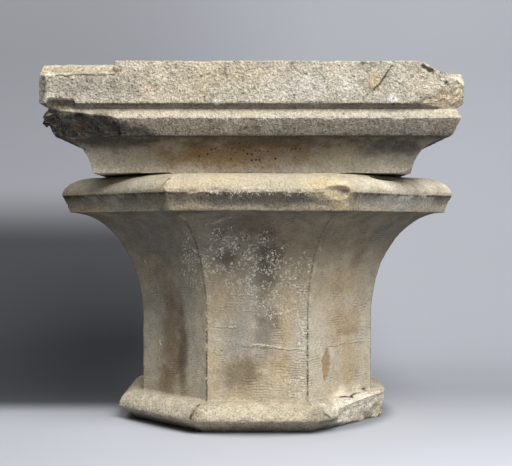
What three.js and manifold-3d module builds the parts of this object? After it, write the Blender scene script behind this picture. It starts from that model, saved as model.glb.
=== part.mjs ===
// Octagonal column capital in limestone, with the square impost block that lies dry on it.
// Millimetres, +Z up. The origin is the middle of the bed that the capital stands on.
// +X is to the right of the front face, and the front faces -Y.

import * as THREE from 'three';
import { mergeVertices } from 'three/addons/utils/BufferGeometryUtils.js';
import Module from 'manifold-3d';

const wasm = await Module();
wasm.setup();

// Capital: widths are across the flats, and rises follow one another from the bed up.
const neckBedWidth = 240;
const neckNoseWidth = 277;
const neckNoseRise = 13;
const neckRollRise = 15.5;
const neckRollSetback = 17;
const shaftWidth = 230;
const shaftRise = 73.5;
const bellSpread = 68;
const bellRise = 103;
const lipHollow = 2;
const lipProjection = 7.5;
const lipRise = 17;
const weatheringRun = 30.5;
const weatheringRise = 17.5;

// Impost block: the band is the widest course, and each course below is set back from it.
const impostWidth = 369.4;
const impostDepth = 369.4;
const impostShift = -4.3;
const bedJoint = 0.3;
const cavettoRadius = 30;
const fasciaRise = 1;
const chamferRise = 15.6;
const chamferRun = 6.9;
const quirkLowerRise = 8.1;
const quirkUpperRise = 3.8;
const quirkDepth = 6.7;
const arrisSetback = 2.5;
const bandRise = 37.2;

// Steps in the curved stretches of the profiles.
const bellSteps = 14;
const weatheringSteps = 7;
const cavettoSteps = 9;
const rollSteps = 6;

const stoneColour = 0x9c8f78;
const impostColour = 0xa39880;
const stoneRoughness = 0.94;

// Heights of the capital's courses.
const neckNoseZ = neckNoseRise;
const neckTopZ = neckNoseZ + neckRollRise;
const bellFootZ = neckTopZ + shaftRise;
const lipZ = bellFootZ + bellRise;
const ridgeZ = lipZ + lipRise;
const bedZ = ridgeZ + weatheringRise;

// Heights of the impost's courses.
const impostZ = bedZ + bedJoint;
const cavettoFootZ = impostZ + fasciaRise;
const chamferFootZ = cavettoFootZ + cavettoRadius;
const arrisZ = chamferFootZ + chamferRise;
const quirkZ = arrisZ + quirkLowerRise;
const bandZ = quirkZ + quirkUpperRise;
const topZ = bandZ + bandRise;

// Points on a quarter of an ellipse, from angle to angle in degrees.
function quarter(centreX, centreZ, radiusX, radiusZ, fromDegrees, toDegrees, steps) {
  const points = [];
  for (let i = 0; i <= steps; i++) {
    const angle = THREE.MathUtils.degToRad(fromDegrees + ((toDegrees - fromDegrees) * i) / steps);
    points.push([centreX + radiusX * Math.cos(angle), centreZ + radiusZ * Math.sin(angle)]);
  }
  return points;
}

// A closed mesh with its shared vertices merged, as a solid.
function toSolid(geometry) {
  const bare = geometry.clone();
  bare.deleteAttribute('normal');
  bare.deleteAttribute('uv');
  const merged = mergeVertices(bare, 1e-3);
  const vertProperties = new Float32Array(merged.attributes.position.array);
  const triVerts = new Uint32Array(merged.index.array);
  return new wasm.Manifold(new wasm.Mesh({ numProp: 3, vertProperties, triVerts }));
}

function toGeometry(solid) {
  const { vertProperties, triVerts } = solid.getMesh();
  const geometry = new THREE.BufferGeometry();
  geometry.setAttribute('position', new THREE.BufferAttribute(vertProperties, 3));
  geometry.setIndex(new THREE.BufferAttribute(triVerts, 1));
  const faceted = geometry.toNonIndexed();
  faceted.computeVertexNormals();
  return faceted;
}

// A profile of [half width, height] points carried round a regular prism with mitred corners.
function mouldedPrism(profile, sides) {
  const halfTurn = Math.PI / sides;
  const outline = profile.map(([half, z]) => new THREE.Vector2(half / Math.cos(halfTurn), z));
  return new THREE.LatheGeometry(outline, sides, halfTurn).rotateX(Math.PI / 2);
}

function box(low, high) {
  const size = high.map((value, i) => value - low[i]);
  const middle = high.map((value, i) => (value + low[i]) / 2);
  return toSolid(new THREE.BoxGeometry(...size).translate(...middle));
}

// The stone lost in front of a flat break: the break passes through three points, the loss is
// on the side that lostPoint lies on, and nothing outside the low and high corners is touched.
function flatBreak(throughPoints, lostPoint, low, high) {
  const [a, b, c] = throughPoints.map((point) => new THREE.Vector3(...point));
  const plane = new THREE.Plane().setFromCoplanarPoints(a, b, c);
  if (plane.distanceToPoint(new THREE.Vector3(...lostPoint)) < 0) plane.negate();
  const reach = 2 * new THREE.Vector3(...low).distanceTo(new THREE.Vector3(...high));
  const slab = new THREE.BoxGeometry(reach, reach, reach).translate(0, 0, reach / 2);
  const turn = new THREE.Quaternion().setFromUnitVectors(new THREE.Vector3(0, 0, 1), plane.normal);
  slab.applyQuaternion(turn).translate(a.x, a.y, a.z);
  return toSolid(slab).intersect(box(low, high));
}

// A corner of a block lost at a flat break that crosses its three edges at the given lengths,
// each signed so that it leads from the corner into the block.
function cornerBreak([x, y, z], [alongX, alongY, alongZ]) {
  const crossings = [
    [x + alongX, y, z],
    [x, y + alongY, z],
    [x, y, z + alongZ],
  ];
  const past = [x - alongX / 4, y - alongY / 4, z - alongZ / 4];
  const low = [Math.min(past[0], x + alongX), Math.min(past[1], y + alongY), Math.min(past[2], z + alongZ)];
  const high = [Math.max(past[0], x + alongX), Math.max(past[1], y + alongY), Math.max(past[2], z + alongZ)];
  return flatBreak(crossings, [x, y, z], low, high);
}

// A shell-shaped break: an uneven ellipsoid, which leaves the scoop that struck stone leaves.
function scoopBreak(centre, radii, turnDegrees = 0) {
  const blob = new THREE.IcosahedronGeometry(1, 5);
  const position = blob.attributes.position;
  const point = new THREE.Vector3();
  for (let i = 0; i < position.count; i++) {
    point.fromBufferAttribute(position, i);
    const swell = Math.sin(3 * point.x + 1) * Math.cos(4 * point.z) + Math.sin(5 * point.y + 2 * point.z);
    point.multiplyScalar(1 + 0.05 * swell);
    position.setXYZ(i, point.x * radii[0], point.y * radii[1], point.z * radii[2]);
  }
  blob.rotateZ(THREE.MathUtils.degToRad(turnDegrees)).translate(...centre);
  return toSolid(blob);
}

function withBreaks(whole, breaks) {
  return breaks.reduce((stone, lost) => stone.subtract(lost), whole);
}

// The capital in one stone: neck moulding, shaft, bell and octagonal abacus.
function capitalProfile() {
  const shaft = shaftWidth / 2;
  const nose = neckNoseWidth / 2;
  const lip = shaft + bellSpread;
  const ridge = lip + lipProjection;
  return [
    [0, 0],
    [neckBedWidth / 2, 0],
    ...quarter(nose - neckRollSetback, neckNoseZ, neckRollSetback, neckRollRise, 0, 90, rollSteps),
    [shaft, neckTopZ],
    ...quarter(lip, bellFootZ, bellSpread, bellRise, 180, 90, bellSteps),
    [(lip + ridge) / 2 - lipHollow / 2, (lipZ + ridgeZ) / 2],
    ...quarter(ridge - weatheringRun, ridgeZ, weatheringRun, weatheringRise, 0, 90, weatheringSteps),
    [0, bedZ],
  ];
}

function capital() {
  const nose = neckNoseWidth / 2;
  const ridge = shaftWidth / 2 + bellSpread + lipProjection;
  const noseCorner = nose * Math.tan(Math.PI / 8);
  const ridgeCorner = ridge * Math.tan(Math.PI / 8);
  const diagonal = ridge * Math.SQRT1_2;
  const breaks = [
    // the abacus ridge at the front right corner
    scoopBreak([ridgeCorner - 9, -ridge - 5, ridgeZ - 3], [18, 10, 12]),
    // the weathering of the right front facet, under the impost's corner
    scoopBreak([diagonal - 15, -diagonal - 2, ridgeZ + 20], [26, 13, 9], 45),
    // small losses along the ridge, front and back
    scoopBreak([-ridge - 4, ridgeCorner * 0.4, ridgeZ + 3], [8, 20, 8]),
    scoopBreak([ridgeCorner * 0.3, ridge + 6, ridgeZ + 3], [32, 11, 11]),
    // the nose of the neck moulding, struck off along the right front facet
    flatBreak(
      [
        [nose - 57, -noseCorner - 55, neckTopZ - 4],
        [nose - 13, -noseCorner + 2, neckTopZ - 4],
        [nose - 42, -noseCorner - 18, 0],
      ],
      [nose - 12, -noseCorner - 12, neckNoseZ],
      [nose - 62, -nose - 1, -1],
      [nose + 10, -noseCorner + 8, neckTopZ],
    ),
    // and worn back on the right facet beside it
    flatBreak(
      [
        [nose - 10.5, -noseCorner, neckTopZ],
        [nose - 13.5, -noseCorner, neckTopZ - 20],
        [nose, noseCorner / 2, neckNoseZ + 7],
      ],
      [nose, -noseCorner, neckNoseZ],
      [nose - 20, -noseCorner - 12, -1],
      [nose + 10, noseCorner, neckTopZ],
    ),
    // smaller losses of the neck moulding at the left and behind
    scoopBreak([-noseCorner - 6, -nose - 3, neckNoseZ - 6], [16, 9, 8]),
    scoopBreak([-nose - 5, noseCorner, neckNoseZ + 2], [11, 26, 13]),
    scoopBreak([noseCorner * 0.5, nose + 6, neckNoseZ + 3], [30, 11, 12]),
  ];
  return withBreaks(toSolid(mouldedPrism(capitalProfile(), 8)), breaks);
}

// The impost in one stone: fascia, cavetto, chamfer, quirk and plain band, on all four sides.
function impostProfile(halfWidth) {
  const arris = halfWidth - arrisSetback;
  const chamferFoot = arris - chamferRun;
  return [
    [chamferFoot - cavettoRadius, impostZ],
    ...quarter(chamferFoot, cavettoFootZ, cavettoRadius, cavettoRadius, 180, 90, cavettoSteps),
    [arris, arrisZ],
    [halfWidth - quirkDepth, quirkZ],
    [halfWidth, bandZ],
    [halfWidth, topZ],
  ];
}

// A bar with this profile on both sides, along Y and centred on the origin.
function mouldedBar(profile, length) {
  const outline = [...profile, ...[...profile].reverse().map(([half, z]) => [-half, z])];
  const section = new THREE.Shape(outline.map(([x, z]) => new THREE.Vector2(x, z)));
  const bar = new THREE.ExtrudeGeometry(section, { depth: length, bevelEnabled: false });
  return bar.translate(0, 0, -length / 2).rotateX(Math.PI / 2);
}

// The block is what two crossing bars have in common, so its mouldings meet in mitres.
function impostBlank() {
  const length = impostWidth + impostDepth;
  const across = mouldedBar(impostProfile(impostWidth / 2), length);
  const along = mouldedBar(impostProfile(impostDepth / 2), length).rotateZ(Math.PI / 2);
  return toSolid(across).intersect(toSolid(along));
}

function impost() {
  const right = impostWidth / 2;
  const front = -impostDepth / 2;
  const back = impostDepth / 2;
  const left = -right;
  const footInset = arrisSetback + chamferRun + cavettoRadius;
  const breaks = [
    // the top edge, spalled off along the left of the front
    flatBreak(
      [
        [left, front, topZ - 12.5],
        [left + 65, front, topZ - 10.5],
        [left + 30, front + 19, topZ],
      ],
      [left, front, topZ],
      [left - 5, front - 5, topZ - 20],
      [left + 65, front + 30, topZ + 1],
    ),
    // the top corner at the right of the front: a slope down to a ledge, and the ledge's own corner
    flatBreak(
      [
        [right - 37.9, front, topZ],
        [right - 20.6, front, topZ - 10.2],
        [right - 20.6, front + 60, topZ],
      ],
      [right - 20.6, front, topZ],
      [right - 38, front - 5, topZ - 10.2],
      [right - 20.6, front + 61, topZ + 1],
    ),
    flatBreak(
      [
        [right - 20.6, front, topZ - 10.2],
        [right, front, topZ - 11.5],
        [right - 10, front + 58, topZ - 3],
      ],
      [right, front, topZ],
      [right - 20.7, front - 5, topZ - 16],
      [right + 5, front + 60, topZ + 1],
    ),
    cornerBreak([right, front, topZ - 11], [-13, 15, -13]),
    // below it, the face of the band has flaked back to the quirk
    flatBreak(
      [
        [right - 15, front, topZ - 20],
        [right - 47, front, bandZ],
        [right, front + 8, bandZ],
      ],
      [right, front, bandZ],
      [right - 60, front - 5, quirkZ],
      [right + 5, front + 30, topZ],
    ),
    // the lower edge of the band at the left end
    flatBreak(
      [
        [left, front, bandZ + 5],
        [left + 31, front, bandZ + 3.4],
        [left, front + quirkDepth, bandZ],
      ],
      [left, front, bandZ],
      [left + 7, front - 5, quirkZ],
      [left + 31, front + quirkDepth + 3, bandZ + 8],
    ),
    // the arris and the chamfer at the left end
    flatBreak(
      [
        [left + 68, front + arrisSetback, arrisZ],
        [left + 12, front + quirkDepth - 1, quirkZ - 1],
        [left + 12, front + 20, chamferFootZ + 2],
      ],
      [left + 12, front, arrisZ],
      [left + 5, front - 5, chamferFootZ - 8],
      [left + 69, front + 40, quirkZ],
    ),
    // and the corner of the chamfer's foot below them
    flatBreak(
      [
        [left + 10.4, front + 10.4, arrisZ - 11.2],
        [left + 25.2, front + 25.2, arrisZ - 19.9],
        [left + 30.4, front - 9.6, arrisZ - 11.2],
      ],
      [left + 9.4, front + 9.4, chamferFootZ],
      [left - 5, front - 5, chamferFootZ - 12],
      [left + 40, front + 40, arrisZ],
    ),
    // the foot of the cavetto at the right front corner
    cornerBreak([right - footInset, front + footInset, impostZ], [-9, 9, 5]),
    // hidden sides: one top corner and one length of the chamfer's arris
    cornerBreak([left, back, topZ], [30, -22, -16]),
    scoopBreak([right - 2, back * 0.35, arrisZ + 1], [9, 34, 10]),
  ];
  return withBreaks(impostBlank(), breaks);
}

function stoneMesh(name, solid, colour) {
  const material = new THREE.MeshStandardMaterial({ color: colour, roughness: stoneRoughness, metalness: 0 });
  const mesh = new THREE.Mesh(toGeometry(solid), material);
  mesh.name = name;
  return mesh;
}

const part = new THREE.Group();
part.add(stoneMesh('octagonal_capital', capital(), stoneColour));

const impostMesh = stoneMesh('impost_block', impost(), impostColour);
impostMesh.position.x = impostShift;
part.add(impostMesh);

export default part;
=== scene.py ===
import math

import bpy
import numpy as np
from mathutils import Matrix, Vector, noise


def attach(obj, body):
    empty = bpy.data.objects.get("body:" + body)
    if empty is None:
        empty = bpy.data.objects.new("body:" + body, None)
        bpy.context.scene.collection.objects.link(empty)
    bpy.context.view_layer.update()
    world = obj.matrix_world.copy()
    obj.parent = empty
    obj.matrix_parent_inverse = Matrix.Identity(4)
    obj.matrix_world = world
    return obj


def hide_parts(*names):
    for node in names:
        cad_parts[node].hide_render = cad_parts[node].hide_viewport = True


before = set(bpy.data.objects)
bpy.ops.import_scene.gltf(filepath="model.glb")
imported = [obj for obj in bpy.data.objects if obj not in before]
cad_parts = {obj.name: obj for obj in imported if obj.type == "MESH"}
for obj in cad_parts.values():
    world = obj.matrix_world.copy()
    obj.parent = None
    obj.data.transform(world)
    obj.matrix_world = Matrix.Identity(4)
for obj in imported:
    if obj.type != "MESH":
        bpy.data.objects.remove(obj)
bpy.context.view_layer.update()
mm = 0.001
print("frame loaded")


# Camera, floor and lights. Lengths in metres, light powers in watts.
studio = {
    "lens": 69.1,
    "eye": (-0.001, -1.035, 0.1912),
    "aimAt": (-0.001, 0.0, 0.1849),
    "floorHalfWidth": 1.6,
    "floorFront": -1.3,
    "sweepStart": 0.26,  # where the floor begins to rise into the backdrop
    "sweepRadius": 0.5,
    "backdropHeight": 1.6,
    "sweepSteps": 24,
    "paper": (0.565, 0.582, 0.63),
    "backdropTone": 0.71,  # painted shade: how dark the paper behind the stones is, against the floor before them
    "leftShade": 0.16,  # painted shadow: how dark the paper is behind the stones' left side
    "leftFloor": 0.77,  # painted shade: the paper's left side, against its right
    "farFloor": 0.3,  # the floor out of the picture
    "footShade": 0.5,  # painted shadow: the floor darkened close round the foot
    # where each painted shade begins and ends, in x, y or z or from the axis
    "backdropFrom": (-0.14, 0.12),
    "shadowTop": (0.27, 0.16),
    "shadowSide": (0.1, -0.2),
    "shadowFront": (-0.03, 0.05),
    "farFrom": (0.32, 0.55),
    "farFront": (0.0, -0.1),
    "leftToRight": (-0.3, 0.15),
    "footRing": (0.128, 0.15),
    "keyAt": (0.65, -1.42, 1.58),
    "keySize": (1.15, 1.15),
    "keyPower": 61.0,
    "topAt": (-0.95, -0.1, 1.75),
    "topSize": (1.2, 1.0),
    "topPower": 13.0,
    "airLight": (0.80, 0.86, 1.0),
    "airStrength": 0.07,
}


def pointAt(thing, target):
    look = Vector(target) - thing.location
    thing.rotation_euler = look.to_track_quat("-Z", "Y").to_euler()


def makeCamera():
    data = bpy.data.cameras.new("photoCamera")
    data.sensor_width = 36.0
    data.lens = studio["lens"]
    data.clip_start, data.clip_end = 0.01, 30.0
    camera = bpy.data.objects.new("photoCamera", data)
    camera.location = studio["eye"]
    pointAt(camera, studio["aimAt"])
    bpy.context.scene.collection.objects.link(camera)
    bpy.context.scene.camera = camera


def makeLight(name, at, size, power, target=(0.0, 0.0, 0.17)):
    data = bpy.data.lights.new(name, "AREA")
    data.shape = "RECTANGLE"
    data.size, data.size_y = size
    data.energy = power
    lamp = bpy.data.objects.new(name, data)
    lamp.location = at
    pointAt(lamp, target)
    bpy.context.scene.collection.objects.link(lamp)


def makeAir():
    world = bpy.data.worlds.new("studioAir")
    world.use_nodes = True
    backing = world.node_tree.nodes["Background"]
    backing.inputs["Color"].default_value = (*studio["airLight"], 1.0)
    backing.inputs["Strength"].default_value = studio["airStrength"]
    bpy.context.scene.world = world


# Node helpers, used by the geometry trees and the materials alike.
def feed(tree, socket, value):
    if isinstance(value, bpy.types.NodeSocket):
        tree.links.new(value, socket)
    else:
        socket.default_value = value


def addNode(tree, kind, feeds=None, **options):
    node = tree.nodes.new(kind)
    for option, value in options.items():
        setattr(node, option, value)
    for socket, value in (feeds or {}).items():
        feed(tree, node.inputs[socket], value)
    return node


def calc(tree, operation, *values, clamp=False):
    feeds = dict(enumerate(values))
    return addNode(tree, "ShaderNodeMath", feeds, operation=operation, use_clamp=clamp).outputs[0]


def times(tree, *values):
    product = values[0]
    for value in values[1:]:
        product = calc(tree, "MULTIPLY", product, value)
    return product


def plus(tree, *values):
    total = values[0]
    for value in values[1:]:
        total = calc(tree, "ADD", total, value)
    return total


def less(tree, value, taken):
    return calc(tree, "SUBTRACT", value, taken)


def splitVector(tree, vector):
    return addNode(tree, "ShaderNodeSeparateXYZ", {0: vector}).outputs


def joinVector(tree, x, y, z):
    return addNode(tree, "ShaderNodeCombineXYZ", {0: x, 1: y, 2: z}).outputs[0]


def calcVector(tree, operation, *values):
    node = addNode(tree, "ShaderNodeVectorMath", dict(enumerate(values)), operation=operation)
    return node.outputs["Value" if operation in ("LENGTH", "DOT_PRODUCT", "DISTANCE") else "Vector"]


def timesVector(tree, vector, factor):
    node = addNode(tree, "ShaderNodeVectorMath", {"Vector": vector, "Scale": factor}, operation="SCALE")
    return node.outputs["Vector"]


def ease(tree, value, low, high, toLow=0.0, toHigh=1.0):
    feeds = {"Value": value, "From Min": low, "From Max": high, "To Min": toLow, "To Max": toHigh}
    return addNode(tree, "ShaderNodeMapRange", feeds, interpolation_type="SMOOTHSTEP").outputs[0]


# Cloudy noise whose lumps are about lumpSize metres across. The seed moves it to other ground.
def cloud(tree, position, lumpSize, seed=0.0, detail=2.0, roughness=0.5):
    moved = calcVector(tree, "ADD", position, (seed, seed * 0.37, seed * 0.71))
    feeds = {"Vector": moved, "Scale": 1.0 / lumpSize, "Detail": detail, "Roughness": roughness}
    return addNode(tree, "ShaderNodeTexNoise", feeds, noise_dimensions="3D").outputs[0]


# Cells of about cellSize metres: how far from the middle, and a random value for each.
def cells(tree, position, cellSize, seed=0.0):
    moved = calcVector(tree, "ADD", position, (seed, seed * 0.37, seed * 0.71))
    feeds = {"Vector": moved, "Scale": 1.0 / cellSize}
    node = addNode(tree, "ShaderNodeTexVoronoi", feeds, voronoi_dimensions="3D", feature="F1")
    return node.outputs["Distance"], splitVector(tree, node.outputs["Color"])[0]


# A position shaken by fine noise, so that what is drawn at it gets a ragged edge.
def shakenAt(tree, position, scale, detail, reach):
    shake = addNode(tree, "ShaderNodeTexNoise", {"Vector": position, "Scale": scale, "Detail": detail})
    shake = calcVector(tree, "SUBTRACT", shake.outputs["Color"], (0.5, 0.5, 0.5))
    return calcVector(tree, "ADD", position, timesVector(tree, shake, reach))


def mixColours(tree, share, under, over, blend="MIX"):
    node = addNode(tree, "ShaderNodeMix", data_type="RGBA", blend_type=blend)
    feed(tree, node.inputs[0], share)
    feed(tree, node.inputs[6], under)
    feed(tree, node.inputs[7], over)
    return node.outputs[2]


def newGroup(name, kind, takes, gives):
    group = bpy.data.node_groups.new(name, kind)
    for socket, socketType, value in takes:
        made = group.interface.new_socket(name=socket, in_out="INPUT", socket_type=socketType)
        if value is not None:
            made.default_value = value
    for socket, socketType in gives:
        group.interface.new_socket(name=socket, in_out="OUTPUT", socket_type=socketType)
    entry = group.nodes.new("NodeGroupInput")
    result = group.nodes.new("NodeGroupOutput")
    return group, entry.outputs, result.inputs


# How large the wear's features are, in metres, the same on both stones.
wearSizes = {
    "weld": 0.00002,
    "lostFrom": 0.0004,
    "lostFully": 0.0008,
    "fractureFrom": 0.0006,
    "fractureFully": 0.0016,
    "slowWave": 0.055,
    "quickWave": 0.013,
    "chip": 0.015,
    "chippedStretch": 0.06,
    "nibble": 0.0035,
    "chipRim": 0.0012,
    "sand": 0.0036,
    "pit": 0.006,
    "brokenLump": 0.009,
    "flatFoot": 0.003,
}


# Swept stone: a profile carried round a regular plan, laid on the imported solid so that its
# breaks are followed, then worn. The two lines come in as objects.
def sweptStoneTree():
    size = wearSizes
    takes = [
        ("Geometry", "NodeSocketGeometry", None),
        ("Plan line", "NodeSocketObject", None),
        ("Profile line", "NodeSocketObject", None),
        ("Solid", "NodeSocketObject", None),
        ("Sideways", "NodeSocketFloat", 0.0),
        ("Undulation", "NodeSocketFloat", 0.0005),
        ("Chip reach", "NodeSocketFloat", 0.004),
        ("Least rounding", "NodeSocketFloat", 0.001),
        ("Corner hold", "NodeSocketFloat", 1.5),
        ("Fracture depth", "NodeSocketFloat", 0.0015),
        ("Sand depth", "NodeSocketFloat", 0.0004),
        ("Pit depth", "NodeSocketFloat", 0.0007),
        ("Seed", "NodeSocketFloat", 0.0),
        ("Stone", "NodeSocketMaterial", None),
    ]
    tree, given, result = newGroup(
        "sweptStone", "GeometryNodeTree", takes, [("Geometry", "NodeSocketGeometry")]
    )

    def shapeOf(thing):
        return addNode(tree, "GeometryNodeObjectInfo", {"Object": thing}).outputs["Geometry"]

    def pointCount(line):
        return addNode(tree, "GeometryNodeAttributeDomainSize", {"Geometry": line}).outputs["Point Count"]

    plan, profile, solid = (shapeOf(given[thing]) for thing in ("Plan line", "Profile line", "Solid"))
    columns, rows = pointCount(plan), pointCount(profile)
    gridFeeds = {"Vertices X": columns, "Vertices Y": rows}
    grid = addNode(tree, "GeometryNodeMeshGrid", gridFeeds).outputs["Mesh"]
    index = tree.nodes.new("GeometryNodeInputIndex").outputs[0]
    place = tree.nodes.new("GeometryNodeInputPosition").outputs[0]
    column, row = (
        addNode(tree, "FunctionNodeIntegerMath", {0: index, 1: rows}, operation=way).outputs[0]
        for way in ("DIVIDE_FLOOR", "MODULO")
    )

    def readLine(line, value, at, kind):
        feeds = {"Geometry": line, "Value": value, "Index": at}
        return addNode(tree, "GeometryNodeSampleIndex", feeds, data_type=kind).outputs[0]

    def named(attribute):
        node = addNode(tree, "GeometryNodeInputNamedAttribute", {"Name": attribute}, data_type="FLOAT")
        return node.outputs[0]

    def store(geometry, attribute, value):
        feeds = {"Geometry": geometry, "Name": attribute, "Value": value}
        node = addNode(tree, "GeometryNodeStoreNamedAttribute", feeds, data_type="FLOAT", domain="POINT")
        return node.outputs[0]

    planAt = splitVector(tree, readLine(plan, place, column, "FLOAT_VECTOR"))
    profileAt = splitVector(tree, readLine(profile, place, row, "FLOAT_VECTOR"))
    half = profileAt["X"]
    sweptX = calc(tree, "MULTIPLY_ADD", planAt["X"], half, given["Sideways"])
    sweptY = times(tree, planAt["Y"], half)
    swept = joinVector(tree, sweptX, sweptY, profileAt["Z"])
    cornerGap = times(tree, readLine(plan, named("cornerGap"), column, "FLOAT"), half)
    skin = store(grid, "cornerGap", cornerGap)
    skin = store(skin, "sideWear", readLine(plan, named("sideWear"), column, "FLOAT"))
    for attribute in ("arrisGap", "damage", "coarse", "grime", "arrisDirt"):
        skin = store(skin, attribute, readLine(profile, named(attribute), row, "FLOAT"))
    skin = addNode(tree, "GeometryNodeSetPosition", {"Geometry": skin, "Position": swept}).outputs[0]
    weldFeeds = {"Geometry": skin, "Distance": size["weld"]}
    skin = addNode(tree, "GeometryNodeMergeByDistance", weldFeeds).outputs[0]

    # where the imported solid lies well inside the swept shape, stone is lost
    def dropOn(geometry, share):
        near = addNode(tree, "GeometryNodeProximity", {0: solid}, target_element="FACES").outputs
        landed = addNode(tree, "ShaderNodeMix", data_type="VECTOR")
        for socket, value in ((0, share), (4, place), (5, near["Position"])):
            feed(tree, landed.inputs[socket], value)
        feeds = {"Geometry": geometry, "Position": landed.outputs[1]}
        return addNode(tree, "GeometryNodeSetPosition", feeds).outputs[0]

    gap = addNode(tree, "GeometryNodeProximity", {0: solid}, target_element="FACES").outputs["Distance"]
    skin = store(skin, "lost", gap)
    share = ease(tree, named("lost"), size["lostFrom"], size["lostFully"])
    skin = dropOn(skin, share)
    for _ in range(2):
        blurFeeds = {"Value": place, "Iterations": 4, "Weight": share}
        blurred = addNode(tree, "GeometryNodeBlurAttribute", blurFeeds, data_type="FLOAT_VECTOR").outputs[0]
        skin = addNode(tree, "GeometryNodeSetPosition", {"Geometry": skin, "Position": blurred}).outputs[0]
        skin = dropOn(skin, share)
    fractureShare = ease(tree, named("lost"), size["fractureFrom"], size["fractureFully"])
    fractureFeeds = {"Value": fractureShare, "Iterations": 2}
    fractured = addNode(tree, "GeometryNodeBlurAttribute", fractureFeeds, data_type="FLOAT").outputs[0]
    skin = store(skin, "fracture", fractured)

    # wear: every move is inwards, along the skin's own normal
    seeded = calcVector(tree, "ADD", place, joinVector(tree, 0.0, 0.0, given["Seed"]))
    coarse = named("coarse")
    slow = ease(tree, cloud(tree, seeded, size["slowWave"], 1.0, 1.0), 0.25, 0.75)
    quick = ease(tree, cloud(tree, seeded, size["quickWave"], 2.0, 2.0), 0.3, 0.7)
    waves = calc(tree, "MULTIPLY_ADD", quick, 0.45, times(tree, slow, 0.55))
    waveDepth = times(tree, waves, given["Undulation"])

    heldCorner = times(tree, named("cornerGap"), given["Corner hold"])
    edgeGap = calc(tree, "MINIMUM", named("arrisGap"), heldCorner)
    chipNoise = cloud(tree, seeded, size["chip"], 3.0, 4.0, 0.68)
    chipWhere = ease(tree, chipNoise, 0.47, 0.72)
    stretch = ease(tree, cloud(tree, seeded, size["chippedStretch"], 3.5, 1.0), 0.36, 0.6, 0.15, 1.0)
    nibble = ease(tree, cloud(tree, seeded, size["nibble"], 3.7, 2.0, 0.6), 0.4, 0.75, 0.0, 0.22)
    chipShare = plus(tree, times(tree, chipWhere, stretch), nibble)
    chipShare = times(tree, chipShare, named("damage"), named("sideWear"))
    chipScale = times(tree, chipShare, given["Chip reach"])
    rounding = times(tree, given["Least rounding"], ease(tree, quick, 0.0, 1.0, 0.4, 1.5))
    chipReach = plus(tree, chipScale, rounding)
    chipDepth = times(tree, calc(tree, "MAXIMUM", less(tree, chipReach, edgeGap), 0.0), 0.7)
    chipMask = ease(tree, less(tree, chipScale, edgeGap), 0.0, size["chipRim"])

    sand = ease(tree, cloud(tree, seeded, size["sand"], 4.5, 2.0, 0.6), 0.25, 0.75)
    sandDepth = times(tree, sand, coarse, given["Sand depth"])
    pitGap, pitDice = cells(tree, seeded, size["pit"], 4.0)
    pitShape = ease(tree, pitGap, 0.42, 0.1)
    pitHere = times(tree, ease(tree, pitDice, 0.62, 0.8), coarse)
    pitMask = times(tree, pitShape, pitHere)
    pitDepth = times(tree, pitMask, given["Pit depth"])

    lumps = ease(tree, cloud(tree, seeded, size["brokenLump"], 5.0, 3.0, 0.62), 0.3, 0.72)
    brokenDepth = times(tree, lumps, named("fracture"), given["Fracture depth"])

    deep = plus(tree, waveDepth, chipDepth, pitDepth, brokenDepth, sandDepth)
    skin = store(skin, "chipped", chipMask)
    skin = store(skin, "pitted", pitMask)
    height = splitVector(tree, place)["Z"]
    depth = times(tree, deep, ease(tree, height, 0.0, size["flatFoot"]))
    normal = tree.nodes.new("GeometryNodeInputNormal").outputs[0]
    inwards = timesVector(tree, normal, times(tree, depth, -1.0))
    skin = addNode(tree, "GeometryNodeSetPosition", {"Geometry": skin, "Offset": inwards}).outputs[0]
    skin = addNode(tree, "GeometryNodeSetShadeSmooth", {"Geometry": skin, "Shade Smooth": True}).outputs[0]
    skin = addNode(tree, "GeometryNodeRealizeInstances", {"Geometry": skin}).outputs[0]
    stoneFeeds = {"Geometry": skin, "Material": given["Stone"]}
    skin = addNode(tree, "GeometryNodeSetMaterial", stoneFeeds).outputs[0]
    feed(tree, result["Geometry"], skin)
    return tree


def storeValues(mesh, attribute, values):
    made = mesh.attributes.new(attribute, "FLOAT", "POINT")
    made.data.foreach_set("value", np.array(values, np.float32))


def pointsOf(mesh):
    co = np.empty(len(mesh.vertices) * 3, np.float32)
    mesh.vertices.foreach_get("co", co)
    return co.reshape(-1, 3)


# A line of points as an object, with one value per point in each attribute.
def makeLine(name, points, attributes):
    mesh = bpy.data.meshes.new(name)
    mesh.from_pydata([tuple(p) for p in points], [(i, i + 1) for i in range(len(points) - 1)], [])
    for attribute, values in attributes.items():
        storeValues(mesh, attribute, values)
    return bpy.data.objects.new(name, mesh)


# The plan of a regular prism whose flats are 1 from the axis. Side 0 faces the front.
def planLine(name, columnsPerSide, wearPerSide):
    sides = len(columnsPerSide)
    reach = math.tan(math.pi / sides)
    points, gaps, wear = [], [], []
    for side, columns in enumerate(columnsPerSide):
        turn = 2 * math.pi * side / sides - math.pi / 2
        outward = Vector((math.cos(turn), math.sin(turn), 0))
        along = Vector((-math.sin(turn), math.cos(turn), 0))
        for i in range(columns + (side == sides - 1)):
            across = reach * (2 * i / columns - 1)
            points.append(outward + along * across)
            gaps.append(reach - abs(across))
            wear.append(wearPerSide[side])
    return makeLine(name, points, {"cornerGap": gaps, "sideWear": wear})


# A run of a profile: (half width, height) points and row spacing in mm, how coarse it is, how far
# the arris at its start is hurt, the grime and painted shade at its two ends and the dirt on its corners.
def course(points, spacing, coarse, damage, grime=(0.0, 0.0), arrisDirt=0.0):
    return dict(
        points=points, spacing=spacing, coarse=coarse, damage=damage, grime=grime, arrisDirt=arrisDirt
    )


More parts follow.
